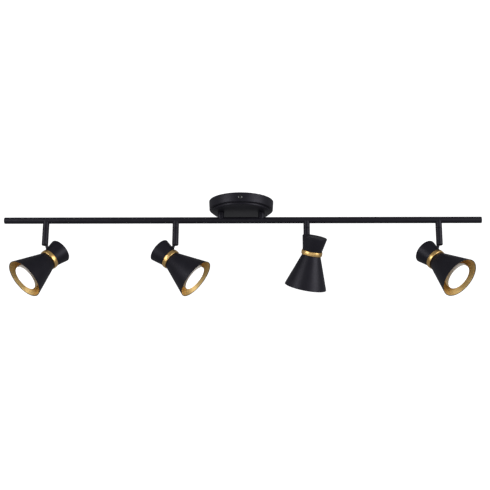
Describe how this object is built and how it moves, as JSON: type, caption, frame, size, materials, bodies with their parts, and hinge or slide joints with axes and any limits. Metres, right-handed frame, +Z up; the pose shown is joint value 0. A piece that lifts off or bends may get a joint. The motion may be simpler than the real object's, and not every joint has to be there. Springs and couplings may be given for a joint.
{
  "type": "track lighting fixture",
  "caption": "Ceiling bar light: round canopy and posts carry a straight tubular bar whose stems hold swivelling, tilting hourglass spot heads with gold-lined mouths.",
  "frame": {"origin": "centre of the canopy's back face, on the ceiling", "axes": "+X along the bar, +Z up into the ceiling, -Y towards the front"},
  "size_m": [0.887, 0.1244, 0.1805],
  "materials": {
    "black_paint": "satin black powder coat",
    "black_screw": "black oxide, slightly glossy",
    "gold_ring": "polished gold plating",
    "gold_liner": "spun, satin gold anodised",
    "zinc_steel": "zinc plated",
    "green_screw": "green dyed zinc",
    "lead_insulation": "lead insulation",
    "wire_nut": "moulded connector",
    "ceramic": "unglazed steatite",
    "lead_sleeve": "woven glass-fibre sleeve",
    "bulb_shell": "white moulded bulb shell",
    "bulb_lens": "frosted opal lens, lit"
  },
  "bodies": {
    "fixture": {"canopy": "black_paint", "mounting_bracket": "zinc_steel", "canopy_screws": "black_screw", "ground_screw": "green_screw", "supply_leads": "lead_insulation", "wire_nuts": "wire_nut", "posts": "black_paint", "post_nuts": "zinc_steel", "bar": "black_paint", "end_caps": "black_paint", "swivel_collars": "black_paint", "set_screws": "zinc_steel"},
    "stem_1": {"stem_1": "black_paint", "tilt_pin_1": "zinc_steel"},
    "head_1": {"tongue_1": "black_paint", "upper_shade_1": "black_paint", "waist_ring_1": "gold_ring", "lower_shade_1": "black_paint", "reflector_1": "gold_liner", "holder_bracket_1": "zinc_steel", "lampholder_1": "ceramic", "head_leads_1": "lead_sleeve"},
    "bulb_1": {"bulb_body_1": "bulb_shell", "bulb_lens_1": "bulb_lens"},
    "stem_2": {"stem_2": "black_paint", "tilt_pin_2": "zinc_steel"},
    "head_2": {"tongue_2": "black_paint", "upper_shade_2": "black_paint", "waist_ring_2": "gold_ring", "lower_shade_2": "black_paint", "reflector_2": "gold_liner", "holder_bracket_2": "zinc_steel", "lampholder_2": "ceramic", "head_leads_2": "lead_sleeve"},
    "bulb_2": {"bulb_body_2": "bulb_shell", "bulb_lens_2": "bulb_lens"},
    "stem_3": {"stem_3": "black_paint", "tilt_pin_3": "zinc_steel"},
    "head_3": {"tongue_3": "black_paint", "upper_shade_3": "black_paint", "waist_ring_3": "gold_ring", "lower_shade_3": "black_paint", "reflector_3": "gold_liner", "holder_bracket_3": "zinc_steel", "lampholder_3": "ceramic", "head_leads_3": "lead_sleeve"},
    "bulb_3": {"bulb_body_3": "bulb_shell", "bulb_lens_3": "bulb_lens"},
    "stem_4": {"stem_4": "black_paint", "tilt_pin_4": "zinc_steel"},
    "head_4": {"tongue_4": "black_paint", "upper_shade_4": "black_paint", "waist_ring_4": "gold_ring", "lower_shade_4": "black_paint", "reflector_4": "gold_liner", "holder_bracket_4": "zinc_steel", "lampholder_4": "ceramic", "head_leads_4": "lead_sleeve"},
    "bulb_4": {"bulb_body_4": "bulb_shell", "bulb_lens_4": "bulb_lens"}
  },
  "joints": [
    {"name": "pan_1", "type": "hinge", "parent": "fixture", "child": "stem_1", "pos_m": [-0.3645, 0, -0.0512], "axis": [0, 0, 1], "range_deg": [-148, 162]},
    {"name": "tilt_1", "type": "hinge", "parent": "stem_1", "child": "head_1", "pos_m": [-0.3645, 0, -0.078], "axis": [-0.6157, 0.788, 0], "range_deg": [-47, 25]},
    {"name": "bulb_twist_1", "type": "hinge", "parent": "head_1", "child": "bulb_1", "pos_m": [-0.3487, 0.01234, -0.0995], "axis": [-0.5763, -0.4503, -0.682], "range_deg": [0, 40]},
    {"name": "pan_2", "type": "hinge", "parent": "fixture", "child": "stem_2", "pos_m": [-0.1215, 0, -0.0512], "axis": [0, 0, 1], "range_deg": [-278, 32]},
    {"name": "tilt_2", "type": "hinge", "parent": "stem_2", "child": "head_2", "pos_m": [-0.1215, 0, -0.078], "axis": [-0.2079, -0.9781, 0], "range_deg": [-51, 21]},
    {"name": "bulb_twist_2", "type": "hinge", "parent": "head_2", "child": "bulb_2", "pos_m": [-0.1396, 0.00385, -0.10085], "axis": [0.7602, -0.1616, -0.6293], "range_deg": [0, 40]},
    {"name": "pan_3", "type": "hinge", "parent": "fixture", "child": "stem_3", "pos_m": [0.1215, 0, -0.0512], "axis": [0, 0, 1], "range_deg": [-44, 266]},
    {"name": "tilt_3", "type": "hinge", "parent": "stem_3", "child": "head_3", "pos_m": [0.1215, 0, -0.078], "axis": [0.9135, 0.4067, 0], "range_deg": [-26, 46]},
    {"name": "bulb_twist_3", "type": "hinge", "parent": "head_3", "child": "bulb_3", "pos_m": [0.13225, -0.02414, -0.09089], "axis": [-0.1783, 0.4005, -0.8988], "range_deg": [0, 40]},
    {"name": "pan_4", "type": "hinge", "parent": "fixture", "child": "stem_4", "pos_m": [0.3645, 0, -0.0512], "axis": [0, 0, 1], "range_deg": [-248, 62]},
    {"name": "tilt_4", "type": "hinge", "parent": "stem_4", "child": "head_4", "pos_m": [0.3645, 0, -0.078], "axis": [-0.6691, -0.7431, 0], "range_deg": [-49, 23]},
    {"name": "bulb_twist_4", "type": "hinge", "parent": "head_4", "child": "bulb_4", "pos_m": [0.35017, 0.01291, -0.10019], "axis": [0.5609, -0.505, -0.6561], "range_deg": [0, 40]}
  ]
}
